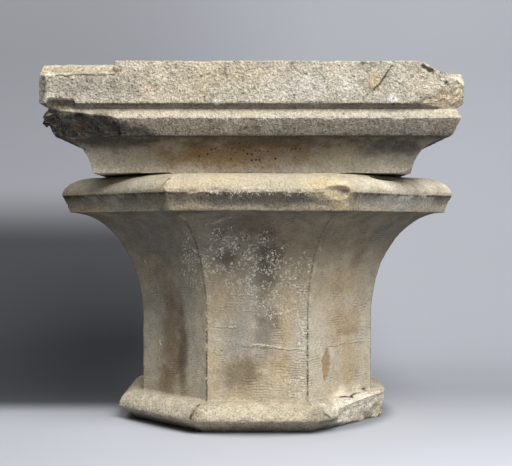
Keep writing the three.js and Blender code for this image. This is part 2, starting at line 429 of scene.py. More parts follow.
# Two courses that meet at an outward angle make an arris.
def profileLine(name, courses):
    points, arrises, travelled = [], [], 0.0
    carried = {"coarse": [], "grime": [], "arrisDirt": []}
    for k, part in enumerate(courses):
        run = [Vector((x, 0, z)) * mm for x, z in part["points"]]
        if k:
            before = Vector(courses[k - 1]["points"][-1]) - Vector(courses[k - 1]["points"][-2])
            after = Vector(part["points"][1]) - Vector(part["points"][0])
            if before.x * after.y - before.y * after.x > 0.2 * before.length * after.length:
                arrises.append((travelled, part["damage"]))
        lengths = [(b - a).length for a, b in zip(run, run[1:])]
        total = sum(lengths)
        rows = max(2, round(total / (part["spacing"] * mm)))
        for i in range(rows + (k == len(courses) - 1)):
            share = i / rows
            goal = total * share
            leg = 0
            while leg < len(lengths) - 1 and goal > lengths[leg]:
                goal -= lengths[leg]
                leg += 1
            point = run[leg].lerp(run[leg + 1], min(1.0, goal / lengths[leg]))
            points.append(point)
            startShadeAndGrime, endShadeAndGrime = part["grime"]
            carried["grime"].append(startShadeAndGrime + (endShadeAndGrime - startShadeAndGrime) * share)
            carried["coarse"].append(part["coarse"])
            carried["arrisDirt"].append(part["arrisDirt"])
        travelled += total
    steps = [0.0] + [(b - a).length for a, b in zip(points, points[1:])]
    along = np.cumsum(steps)
    gaps, damages = [], []
    for here in along:
        gap, damage = min((abs(here - at), hurt) for at, hurt in arrises)
        gaps.append(gap)
        damages.append(damage)
    return makeLine(name, points, {"arrisGap": gaps, "damage": damages, **carried})


# Points on a quarter of an ellipse, from angle to angle in degrees.
def quarter(middleX, middleZ, radiusX, radiusZ, fromDegrees, toDegrees, steps=24):
    angles = np.radians(np.linspace(fromDegrees, toDegrees, steps + 1))
    return [(middleX + radiusX * math.cos(a), middleZ + radiusZ * math.sin(a)) for a in angles]


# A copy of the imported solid, for the skin to lie on.
def solidCopy(nodeName):
    solid = bpy.data.objects.new("solidOf_" + nodeName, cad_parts[nodeName].data.copy())
    solid.data.transform(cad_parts[nodeName].matrix_world)
    return solid


def buildStone(pieceName, nodeName, tree, plan, profile, wear, material):
    solid = solidCopy(nodeName)
    base = bpy.data.objects.new(pieceName, bpy.data.meshes.new(pieceName + "Base"))
    helpers = [solid, plan, profile]
    for thing in [base, *helpers]:
        bpy.context.scene.collection.objects.link(thing)
    modifier = base.modifiers.new("sweptStone", "NODES")
    modifier.node_group = tree
    sockets = {s.name: s.identifier for s in tree.interface.items_tree if s.in_out == "INPUT"}
    values = {"Plan line": plan, "Profile line": profile, "Solid": solid, "Stone": material, **wear}
    for name, value in values.items():
        modifier[sockets[name]] = value
    bpy.context.view_layer.update()
    evaluated = base.evaluated_get(bpy.context.evaluated_depsgraph_get())
    mesh = bpy.data.meshes.new_from_object(evaluated)
    base.modifiers.remove(modifier)
    base.data = mesh
    mesh.name = pieceName
    for thing in helpers:
        bpy.data.objects.remove(thing)
    if signedVolume(mesh) < 0:
        mesh.flip_normals()
    print(pieceName, len(mesh.polygons), "faces")
    return base


def signedVolume(mesh):
    mesh.calc_loop_triangles()
    corners = np.array([t.vertices for t in mesh.loop_triangles])
    co = pointsOf(mesh)
    a, b, c = (co[corners[:, i]] for i in range(3))
    return float((a * np.cross(b, c)).sum() / 6)


# A point on a facet: turned round the axis from the front, out from it, across and up, in mm.
def onFacet(turnDegrees, across, height, out):
    turn = math.radians(turnDegrees)
    x = across * math.cos(turn) + out * math.sin(turn)
    y = across * math.sin(turn) - out * math.cos(turn)
    return Vector((x, y, height)) * mm


# A facet's own directions: out from it, and across and up it when leaned by some degrees.
def facetAxes(turnDegrees, leanDegrees):
    turn, lean = math.radians(turnDegrees), math.radians(leanDegrees)
    out = np.array((math.sin(turn), -math.cos(turn), 0.0))
    right = np.array((math.cos(turn), math.sin(turn), 0.0))
    up = np.array((0.0, 0.0, 1.0))
    wide = math.cos(lean) * right + math.sin(lean) * up
    tall = math.cos(lean) * up - math.sin(lean) * right
    return out, wide, tall


# A pointed oval is pressed into the finished skin, with a ragged rim and a floor that rises
# towards one side.
def pressMarks(piece, marks):
    mesh = piece.data
    co = pointsOf(mesh)
    struck = np.zeros(len(co), np.float32)
    for mark in marks:
        out, wide, tall = facetAxes(mark["turn"], mark["lean"])
        away = co - np.array(onFacet(mark["turn"], mark["across"], mark["height"], mark["out"]))
        a = away @ wide / (mark["halfWidth"] * mm)
        b = away @ tall / (mark["halfHeight"] * mm)
        around = np.arctan2(a, b)
        ragged = 0.12 * np.sin(5.0 * around + mark["across"]) + 0.07 * np.sin(11.0 * around)
        reach = np.abs(a) / np.maximum(0.02, 1.0 - b * b) + (np.abs(b) > 1) * 9.0
        reach = reach * (1.0 + ragged)
        near = np.abs(away @ out) < 0.02
        sunk = np.clip((1.0 - reach) / 0.25, 0.0, 1.0)
        sunk = sunk * sunk * (3.0 - 2.0 * sunk) * near
        floorRise = 0.75 - 0.25 * a * mark["floorTilt"]
        co -= (sunk * floorRise * mark["depth"] * mm)[:, None] * out[None, :]
        struck = np.maximum(struck, sunk)
    mesh.vertices.foreach_set("co", co.ravel())
    storeValues(mesh, "struck", struck)
    mesh.update()


# Stains, patches of painted shade and a painted highlight, and speckled places are painted on the
# finished skin. The stain colours lie one over the other, with how much they cover as alpha.
def paintPatches(piece, look):
    mesh = piece.data
    co = pointsOf(mesh).astype(float)
    tornSize = look["tornSize"] * mm
    torn = np.array([noise.fractal(Vector(p) / tornSize, 0.7, 2.1, 4) for p in co]) * 0.2

    def maskOf(spot):
        out, wide, tall = facetAxes(spot["turn"], spot["lean"])
        away = (co - np.array(onFacet(spot["turn"], *spot["place"]))) / mm
        reachAcross, reachOut, reachUp = spot["reach"]
        a, b, c = away @ wide / reachAcross, away @ out / reachOut, away @ tall / reachUp
        reach = np.sqrt(a * a + b * b + c * c) + torn * 3.0 * spot["ragged"]
        full = np.clip((1.0 - reach) / spot["softness"], 0.0, 1.0)
        return full * full * (3.0 - 2.0 * full) * spot["strength"]

    stainAndShading = np.zeros((len(co), 4))
    for spot in look["stainsAndShading"]:
        share = maskOf(spot)[:, None]
        stainAndShading = stainAndShading * (1.0 - share) + np.array(tone(*spot["colour"])) * share
    painted = mesh.attributes.new("stainAndShading", "FLOAT_COLOR", "POINT")
    painted.data.foreach_set("color", stainAndShading.astype(np.float32).ravel())
    for name in ("speckled", "dotted"):
        total = np.zeros(len(co))
        for spot in look[name]:
            total = np.maximum(total, maskOf(spot))
        storeValues(mesh, name, total)


# Sizes of the grain in metres.
grainSizes = {
    "sand": 0.0012,
    "mottle": 0.0024,
    "broad": 0.0095,
    "pit": 0.0026,
    "speck": 0.0016,
    "splash": 0.0042,
    "cluster": 0.008,
    "dark": 0.0036,
    "tear": 0.0024,
}


# Shader groups shared by both stones.
def stoneGrainGroup():
    takes = [
        ("Position", "NodeSocketVector", None),
        ("Coarseness", "NodeSocketFloat", 0.5),
    ]
    names = ("Tone", "Height", "Light specks", "Splashes", "Dark specks")
    gives = [(name, "NodeSocketFloat") for name in names]
    group, given, result = newGroup("stoneGrain", "ShaderNodeTree", takes, gives)
    at, coarse = given["Position"], given["Coarseness"]
    size = grainSizes
    sandDice = cells(group, at, size["sand"], 11.0)[1]
    middle = ease(group, cloud(group, at, size["mottle"], 12.0, 3.0, 0.7), 0.25, 0.75)
    broad = ease(group, cloud(group, at, size["broad"], 13.0, 2.0), 0.25, 0.75)
    pitGap, pitDice = cells(group, at, size["pit"], 14.0)
    pit = times(group, ease(group, pitGap, 0.4, 0.12), ease(group, pitDice, 0.72, 0.86))
    pit = times(group, pit, ease(group, coarse, 0.0, 1.0, 0.3, 1.0))
    mixed = calc(group, "MULTIPLY_ADD", sandDice, 0.5, times(group, middle, 0.5))
    grit = calc(group, "MULTIPLY_ADD", broad, 0.2, times(group, mixed, 0.8))
    grit = less(group, grit, times(group, pit, 0.24))
    height = less(group, mixed, times(group, pit, 0.6))
    torn = shakenAt(group, at, 700.0, 2.0, size["tear"])
    speckGap, speckDice = cells(group, torn, size["speck"], 15.0)
    clustered = ease(group, cloud(group, at, size["cluster"], 18.0, 3.0, 0.6), 0.42, 0.54)
    speck = times(group, ease(group, speckGap, 0.54, 0.36), ease(group, speckDice, 0.3, 0.38), clustered)
    splashGap, splashDice = cells(group, torn, size["splash"], 16.0)
    splash = times(group, ease(group, splashGap, 0.36, 0.24), ease(group, splashDice, 0.8, 0.85))
    darkGap, darkDice = cells(group, at, size["dark"], 17.0)
    dark = times(group, ease(group, darkGap, 0.4, 0.2), ease(group, darkDice, 0.6, 0.7))
    for name, value in zip(names, (grit, height, speck, splash, dark)):
        feed(group, result[name], value)
    return group


def toolLinesGroup():
    takes = [
        ("Position", "NodeSocketVector", None),
        ("Spacing", "NodeSocketFloat", 0.0022),
    ]
    group, given, result = newGroup("toolLines", "ShaderNodeTree", takes, [("Lines", "NodeSocketFloat")])
    at = given["Position"]
    height = splitVector(group, at)["Z"]
    waver = times(group, cloud(group, at, 0.02, 21.0, 4.0, 0.6), 0.009)
    phase = calc(group, "DIVIDE", plus(group, height, waver), given["Spacing"])
    wave = calc(group, "SINE", times(group, phase, math.tau))
    cut = ease(group, wave, -0.3, 0.9)
    held = ease(group, cloud(group, at, 0.016, 22.0, 3.0), 0.47, 0.68)
    feed(group, result["Lines"], times(group, cut, held))
    return group


# A hairline between two points of a position that has been shaken a little.
def hairlineGroup():
    takes = [
        ("Position", "NodeSocketVector", None),
        ("From", "NodeSocketVector", None),
        ("To", "NodeSocketVector", None),
        ("Width", "NodeSocketFloat", 0.0008),
    ]
    group, given, result = newGroup("hairline", "ShaderNodeTree", takes, [("Line", "NodeSocketFloat")])
    run = calcVector(group, "SUBTRACT", given["To"], given["From"])
    away = calcVector(group, "SUBTRACT", given["Position"], given["From"])
    along = calc(
        group, "DIVIDE", calcVector(group, "DOT_PRODUCT", away, run),
        calcVector(group, "DOT_PRODUCT", run, run), clamp=True,
    )
    nearest = timesVector(group, run, along)
    gap = calcVector(group, "DISTANCE", away, nearest)
    core = times(group, given["Width"], 0.35)
    feed(group, result["Line"], ease(group, gap, given["Width"], core))
    return group


groups = {}


def useGroup(tree, name, feeds):
    node = tree.nodes.new("ShaderNodeGroup")
    node.node_tree = groups[name]
    for socket, value in feeds.items():
        feed(tree, node.inputs[socket], value)
    return node.outputs


# A screen colour from 0 to 255 as the linear colour that a shader takes.
def tone(red, green, blue):
    def linear(value):
        value /= 255.0
        return value / 12.92 if value <= 0.04045 else ((value + 0.055) / 1.055) ** 2.4
    return (linear(red), linear(green), linear(blue), 1.0)


def placeHairlines(tree, shaken, lines):
    total = 0.0
    for line in lines:
        points = [onFacet(line["turn"], *place) for place in line["points"]]
        for start, end in zip(points, points[1:]):
            feeds = {"Position": shaken, "From": start, "To": end, "Width": line["width"] * mm}
            drawn = times(tree, useGroup(tree, "hairline", feeds)["Line"], line["strength"])
            total = calc(tree, "MAXIMUM", drawn, total)
    return total


def limestone(name, look):
    material = bpy.data.materials.new(name)
    material.use_nodes = True
    tree = material.node_tree
    surface = tree.nodes["Principled BSDF"]
    at = tree.nodes.new("ShaderNodeTexCoord").outputs["Object"]
    facing = tree.nodes.new("ShaderNodeNewGeometry").outputs["Normal"]
    upward = splitVector(tree, facing)["Z"]

    def attributeNode(name):
        return addNode(tree, "ShaderNodeAttribute", attribute_name=name, attribute_type="GEOMETRY").outputs

    def read(name):
        return attributeNode(name)["Fac"]

    def lay(colour, share, over):
        return mixColours(tree, share, colour, tone(*look[over]))

    coarse, fracture, chipped = read("coarse"), read("fracture"), read("chipped")
    pitted, struck, grime = read("pitted"), read("struck"), read("grime")
    shaken = shakenAt(tree, at, 150.0, 4.0, look["lineWaver"] * mm)
    grain = useGroup(tree, "stoneGrain", {"Position": at, "Coarseness": coarse})
    lines = useGroup(tree, "toolLines", {"Position": at, "Spacing": look["toolSpacing"]})["Lines"]
    lines = times(tree, lines, ease(tree, coarse, 0.42, 0.3), look["toolMarks"])

    # broad cloudy changes of tone, warm and cool
    drift = cloud(tree, at, look["driftSize"], 41.0, 3.0, 0.55)
    colour = mixColours(tree, ease(tree, drift, 0.35, 0.65), tone(*look["warm"]), tone(*look["cool"]))
    smudge = ease(tree, cloud(tree, at, 0.022, 42.0, 4.0, 0.6), 0.46, 0.68)
    colour = lay(colour, times(tree, smudge, look["smudge"]), "smudgeTone")
    bloom = ease(tree, cloud(tree, at, 0.017, 43.0, 3.0, 0.6), 0.5, 0.7)
    colour = lay(colour, times(tree, bloom, look["bloom"]), "bloomTone")

    # clean pale dust where the stone faces up
    colour = lay(colour, times(tree, ease(tree, upward, 0.1, 0.75), look["dust"]), "dustTone")
    colour = lay(colour, times(tree, fracture, look["breakShow"]), "breakTone")

    # grime and painted shade gathered under the overhangs, then the painted stains, with their patches of
    # painted shade and highlight
    thickness = ease(tree, cloud(tree, at, 0.03, 44.0, 4.0, 0.6), 0.3, 0.7, 0.8, 1.1)
    patchy = times(tree, grime, thickness)
    colour = lay(colour, calc(tree, "MULTIPLY", patchy, look["shadeAndGrimeShow"], clamp=True), "shadeAndGrimeTone")
    stainAndShading = attributeNode("stainAndShading")
    colour = mixColours(tree, stainAndShading["Alpha"], colour, (0.0, 0.0, 0.0, 1.0))
    colour = mixColours(tree, 1.0, colour, stainAndShading["Color"], "ADD")

    # fresh stone in chips, brown earth held in the struck mark
    colour = lay(colour, times(tree, chipped, look["chipShow"]), "chipTone")
    colour = lay(colour, times(tree, struck, look["earthShow"]), "earthTone")

    # grain: light and dark grit over everything
    gritShare = ease(tree, coarse, 0.0, 1.0, look["gritFine"], look["gritCoarse"])
    gain = plus(tree, 1.0, times(tree, less(tree, grain["Tone"], look["gritMiddle"]), gritShare))
    gain = less(tree, gain, times(tree, lines, look["lineShade"]))
    gain = less(tree, gain, times(tree, pitted, look["pitShade"]))
    gain = calc(tree, "MAXIMUM", gain, look["leastGain"])
    colour = mixColours(tree, 1.0, colour, joinVector(tree, gain, gain, gain), "MULTIPLY")

    dotted = ease(tree, read("dotted"), 0.0, 0.6)
    colour = lay(colour, times(tree, dotted, grain["Dark specks"]), "crackAndShadowTone")
    speckled = ease(tree, read("speckled"), 0.05, 0.6)
    anywhere = plus(tree, speckled, look["speckShare"])
    specks = calc(tree, "MULTIPLY", grain["Light specks"], anywhere, clamp=True)
    specks = calc(tree, "MAXIMUM", specks, times(tree, grain["Splashes"], speckled))
    colour = lay(colour, specks, "speckTone")

    # dirt held along the arrises of shaft and bell
    rim = times(tree, ease(tree, read("cornerGap"), 0.0018, 0.0006), read("arrisDirt"))
    rim = times(tree, rim, ease(tree, cloud(tree, at, 0.0028, 45.0, 3.0), 0.32, 0.54))
    colour = lay(colour, times(tree, rim, look["rimShow"]), "crackAndShadowTone")
    # cracks, and the painted shadow line under the capital's ridge
    colour = lay(colour, placeHairlines(tree, shaken, look["cracksAndShadowLines"]), "crackAndShadowTone")
    colour = lay(colour, placeHairlines(tree, shaken, look["scratches"]), "scratchTone")

    height = times(tree, grain["Height"], ease(tree, coarse, 0.0, 1.0, 0.45, 1.0))
    height = less(tree, height, times(tree, lines, 0.25))
    bumpFeeds = {"Height": height, "Strength": 1.0, "Distance": look["bumpDepth"]}
    bump = addNode(tree, "ShaderNodeBump", bumpFeeds).outputs[0]
    feed(tree, surface.inputs["Base Color"], colour)
    feed(tree, surface.inputs["Normal"], bump)
    feed(tree, surface.inputs["Roughness"], ease(tree, grain["Tone"], 0.3, 0.7, 0.97, 0.84))
    surface.inputs["Specular IOR Level"].default_value = 0.25
    return material


# Floor and backdrop in one sheet of paper that sweeps up behind the stones, with painted shade and painted
# shadows on it.
def makeSweep():
    low = studio["sweepStart"]
    radius = studio["sweepRadius"]
    line = [(studio["floorFront"], 0.0), (low, 0.0)]
    for i in range(1, studio["sweepSteps"] + 1):
        angle = math.pi / 2 * i / studio["sweepSteps"]
        line.append((low + radius * math.sin(angle), radius * (1 - math.cos(angle))))
    line.append((low + radius, studio["backdropHeight"]))
    wide = studio["floorHalfWidth"]
    corners = [(x, y, z) for y, z in line for x in (-wide, wide)]
    faces = [(2 * i, 2 * i + 1, 2 * i + 3, 2 * i + 2) for i in range(len(line) - 1)]
    mesh = bpy.data.meshes.new("paperSweep")
    mesh.from_pydata(corners, [], faces)
    mesh.polygons.foreach_set("use_smooth", [True] * len(faces))
    sweep = bpy.data.objects.new("paperSweep", mesh)
    bpy.context.scene.collection.objects.link(sweep)
    material = bpy.data.materials.new("sweepPaper")
    material.use_nodes = True
    tree = material.node_tree
    at = tree.nodes.new("ShaderNodeTexCoord").outputs["Object"]
    faint = cloud(tree, at, 0.4, 71.0, 2.0)
    where = splitVector(tree, at)

    def darkened(shade, share, toShade):
        return times(tree, shade, calc(tree, "MULTIPLY_ADD", share, toShade - 1.0, 1.0))

    # the backdrop painted darker than the floor, a painted shade
    shade = darkened(1.0, ease(tree, where["Y"], *studio["backdropFrom"]), studio["backdropTone"])
    # a painted shadow on the paper behind the stones' left side
    low = ease(tree, where["Z"], *studio["shadowTop"])
    shadow = times(tree, low, ease(tree, where["X"], *studio["shadowSide"]))
    shadow = times(tree, shadow, ease(tree, where["Y"], *studio["shadowFront"]))
    shade = darkened(shade, shadow, studio["leftShade"])
    away = calcVector(tree, "LENGTH", calcVector(tree, "MULTIPLY", at, (1.0, 1.0, 0.0)))
    far = times(tree, ease(tree, away, *studio["farFrom"]), ease(tree, where["Y"], *studio["farFront"]))
    shade = darkened(shade, far, studio["farFloor"])
    # painted shade: the paper darker towards the left
    across = ease(tree, where["X"], *studio["leftToRight"], studio["leftFloor"], 1.0)
    # a painted contact shadow round the foot
    foot = ease(tree, away, *studio["footRing"], studio["footShade"], 1.0)
    shade = times(tree, shade, across, foot, ease(tree, faint, 0.2, 0.8, 0.98, 1.02))
    shade = timesVector(tree, studio["paper"], shade)
    paper = tree.nodes["Principled BSDF"]
    feed(tree, paper.inputs["Base Color"], shade)
    paper.inputs["Roughness"].default_value = 0.9
    # clear from behind, so that the stones' back can be looked at
    behindPaper = tree.nodes.new("ShaderNodeNewGeometry").outputs["Backfacing"]
    clear = tree.nodes.new("ShaderNodeBsdfTransparent").outputs[0]
    sheet = addNode(tree, "ShaderNodeMixShader", {0: behindPaper, 1: paper.outputs[0], 2: clear})
    feed(tree, tree.nodes["Material Output"].inputs["Surface"], sheet.outputs[0])
    mesh.materials.append(material)


# The capital. Widths across the flats and rises in mm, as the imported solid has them.
capitalSizes = {
    "neckBedWidth": 240.0,
    "neckNoseWidth": 277.0,
    "neckNoseRise": 13.0,
    "neckRollRise": 15.5,
    "neckRollSetback": 17.0,
    "shaftWidth": 230.0,
    "shaftRise": 73.5,
    "bellSpread": 68.0,
    "bellRise": 103.0,
    "lipHollow": 2.0,
    "lipProjection": 7.5,
    "lipRise": 17.0,
    "weatheringRun": 30.5,
    "weatheringRise": 17.5,
    "columnsPerSide": (80, 74, 28, 28, 28, 28, 28, 74),
    "wearPerSide": (1.0, 0.45, 0.25, 0.4, 0.5, 0.4, 0.2, 0.3),  # from the front round by the right
    "rowSpacing": 1.4,
    "bedRowSpacing": 9.0,
}


def capitalProfile():
    s = capitalSizes
    bed, nose, shaft = s["neckBedWidth"] / 2, s["neckNoseWidth"] / 2, s["shaftWidth"] / 2
    roll, rollFoot = s["neckRollSetback"], s["neckNoseRise"]
    neckTop = rollFoot + s["neckRollRise"]
    bellFoot = neckTop + s["shaftRise"]
    lip, lipZ = shaft + s["bellSpread"], bellFoot + s["bellRise"]
    ridge, ridgeZ = lip + s["lipProjection"], lipZ + s["lipRise"]
    run, bedZ = s["weatheringRun"], ridgeZ + s["weatheringRise"]
    rollLine = quarter(nose - roll, rollFoot, roll, s["neckRollRise"], 0, 90)
    bellLine = quarter(lip, bellFoot, s["bellSpread"], s["bellRise"], 180, 90, 40)
    lipLine = [(lip, lipZ), ((lip + ridge) / 2 - s["lipHollow"] / 2, (lipZ + ridgeZ) / 2), (ridge, ridgeZ)]
    weathering = quarter(ridge - run, ridgeZ, run, s["weatheringRise"], 0, 90)
    row, bedRow = s["rowSpacing"], s["bedRowSpacing"]
    # the grime values darken the neck's underside, the bell and the lip towards the overhangs: painted
    # shade, with some real grime, as on the neck's top ledge
    return [
        course([(0, 0), (bed, 0)], bedRow, coarse=0.6, damage=0.0, grime=(0.4, 0.4)),
        course([(bed, 0), (nose, rollFoot)], row, coarse=1.0, damage=0.3, grime=(0.45, 0.25)),
        course(rollLine, row, coarse=1.0, damage=0.6),
        course([(nose - roll, neckTop), (shaft, neckTop)], row, coarse=0.5, damage=0.0, grime=(0.0, 0.3)),
        course([(shaft, neckTop), (shaft, bellFoot)], row, coarse=0.25, damage=0.0, arrisDirt=1.0),
        course(bellLine, row, coarse=0.3, damage=0.0, arrisDirt=0.7, grime=(0.0, 1.1)),
        course(lipLine, row, coarse=0.65, damage=0.35, grime=(0.15, 1.25)),
        course(weathering, row, coarse=0.45, damage=1.0),
        course([(ridge - run, bedZ), (0, bedZ)], bedRow, coarse=0.6, damage=0.0),
    ]


# The impost block, in mm as packed.
impostSizes = {
    "width": 369.4,
    "sideways": -4.3,
    "foot": 239.8,
    "fasciaRise": 1.0,
    "cavettoRadius": 30.0,
    "chamferRise": 15.6,
    "chamferRun": 6.9,
    "quirkLowerRise": 8.1,
    "quirkUpperRise": 3.8,
    "quirkDepth": 6.7,
    "arrisSetback": 2.5,
    "bandRise": 37.2,
    "columnsPerSide": (290, 150, 130, 150),
    "wearPerSide": (1.0, 0.6, 0.8, 0.6),
    "rowSpacing": 1.15,
    "bedRowSpacing": 10.0,
}


def impostProfile():
    s = impostSizes
    half = s["width"] / 2
    arris = half - s["arrisSetback"]
    chamferFoot = arris - s["chamferRun"]
    quirk = half - s["quirkDepth"]
    cavettoZ = s["foot"] + s["fasciaRise"]
    chamferZ = cavettoZ + s["cavettoRadius"]
    arrisZ = chamferZ + s["chamferRise"]
    quirkZ = arrisZ + s["quirkLowerRise"]
    bandZ = quirkZ + s["quirkUpperRise"]
    topZ = bandZ + s["bandRise"]
    inner = chamferFoot - s["cavettoRadius"]
    cavetto = quarter(chamferFoot, cavettoZ, s["cavettoRadius"], s["cavettoRadius"], 180, 90, 40)
    row, bedRow = s["rowSpacing"], s["bedRowSpacing"]
    # the grime values darken the cavetto's top, the chamfer and the quirk under the band: painted shade,
    # with some real grime
    return [
        course([(0, s["foot"]), (inner, s["foot"])], bedRow, coarse=0.6, damage=0.0),
        course([(inner, s["foot"]), (inner, cavettoZ)], s["fasciaRise"], coarse=0.5, damage=0.2),
        course(cavetto, row, coarse=0.3, damage=0.0, grime=(-0.7, 1.5)),
        course([(chamferFoot, chamferZ), (arris, arrisZ)], row, coarse=0.95, damage=0.5, grime=(0.85, 0.6)),
        course([(arris, arrisZ), (quirk, quirkZ)], row, coarse=0.45, damage=0.9),
        course([(quirk, quirkZ), (half, bandZ)], row, coarse=0.6, damage=0.0, grime=(0.5, 1.1)),
        course([(half, bandZ), (half, topZ)], row, coarse=1.0, damage=0.5),
        course([(half, topZ), (0, topZ)], bedRow, coarse=0.9, damage=0.6),
    ]


capitalWear = {
    "Undulation": 0.0005,
    "Chip reach": 0.0078,
    "Least rounding": 0.0004,
    "Corner hold": 2.6,
    "Fracture depth": 0.0020,
    "Sand depth": 0.0005,
    "Pit depth": 0.0007,
    "Seed": 3.0,
}

impostWear = {
    "Sideways": impostSizes["sideways"] * mm,
    "Undulation": 0.0005,
    "Chip reach": 0.0048,
    "Least rounding": 0.0002,
    "Corner hold": 3.0,
    "Fracture depth": 0.0022,
    "Sand depth": 0.0005,
    "Pit depth": 0.0010,
    "Seed": 8.0,
}

# The pointed spall low on the right front facet. Its place is the facet's turn from the front,
# then across it, up, and out from the axis, in mm.
capitalMarks = [dict(
    turn=45, lean=-3, across=-20.5, height=59.0, out=115,
    halfWidth=6.6, halfHeight=16.5, depth=3.6, floorTilt=1.0,
)]


# A patch of stain or specks: the facet's turn, its place (across, height, out) and its reach
# (across, out, up) in mm.
def patch(turn, place, reach, colour=None, strength=1.0, softness=0.8, ragged=0.6, lean=0.0):
    return dict(
        turn=turn, place=place, reach=reach, colour=colour,
        strength=strength, softness=softness, ragged=ragged, lean=lean,
    )


# A crack or scratch through places on one facet, with its width in mm.
def hair(turn, width, strength, *points):
    return dict(turn=turn, width=width, strength=strength, points=points)


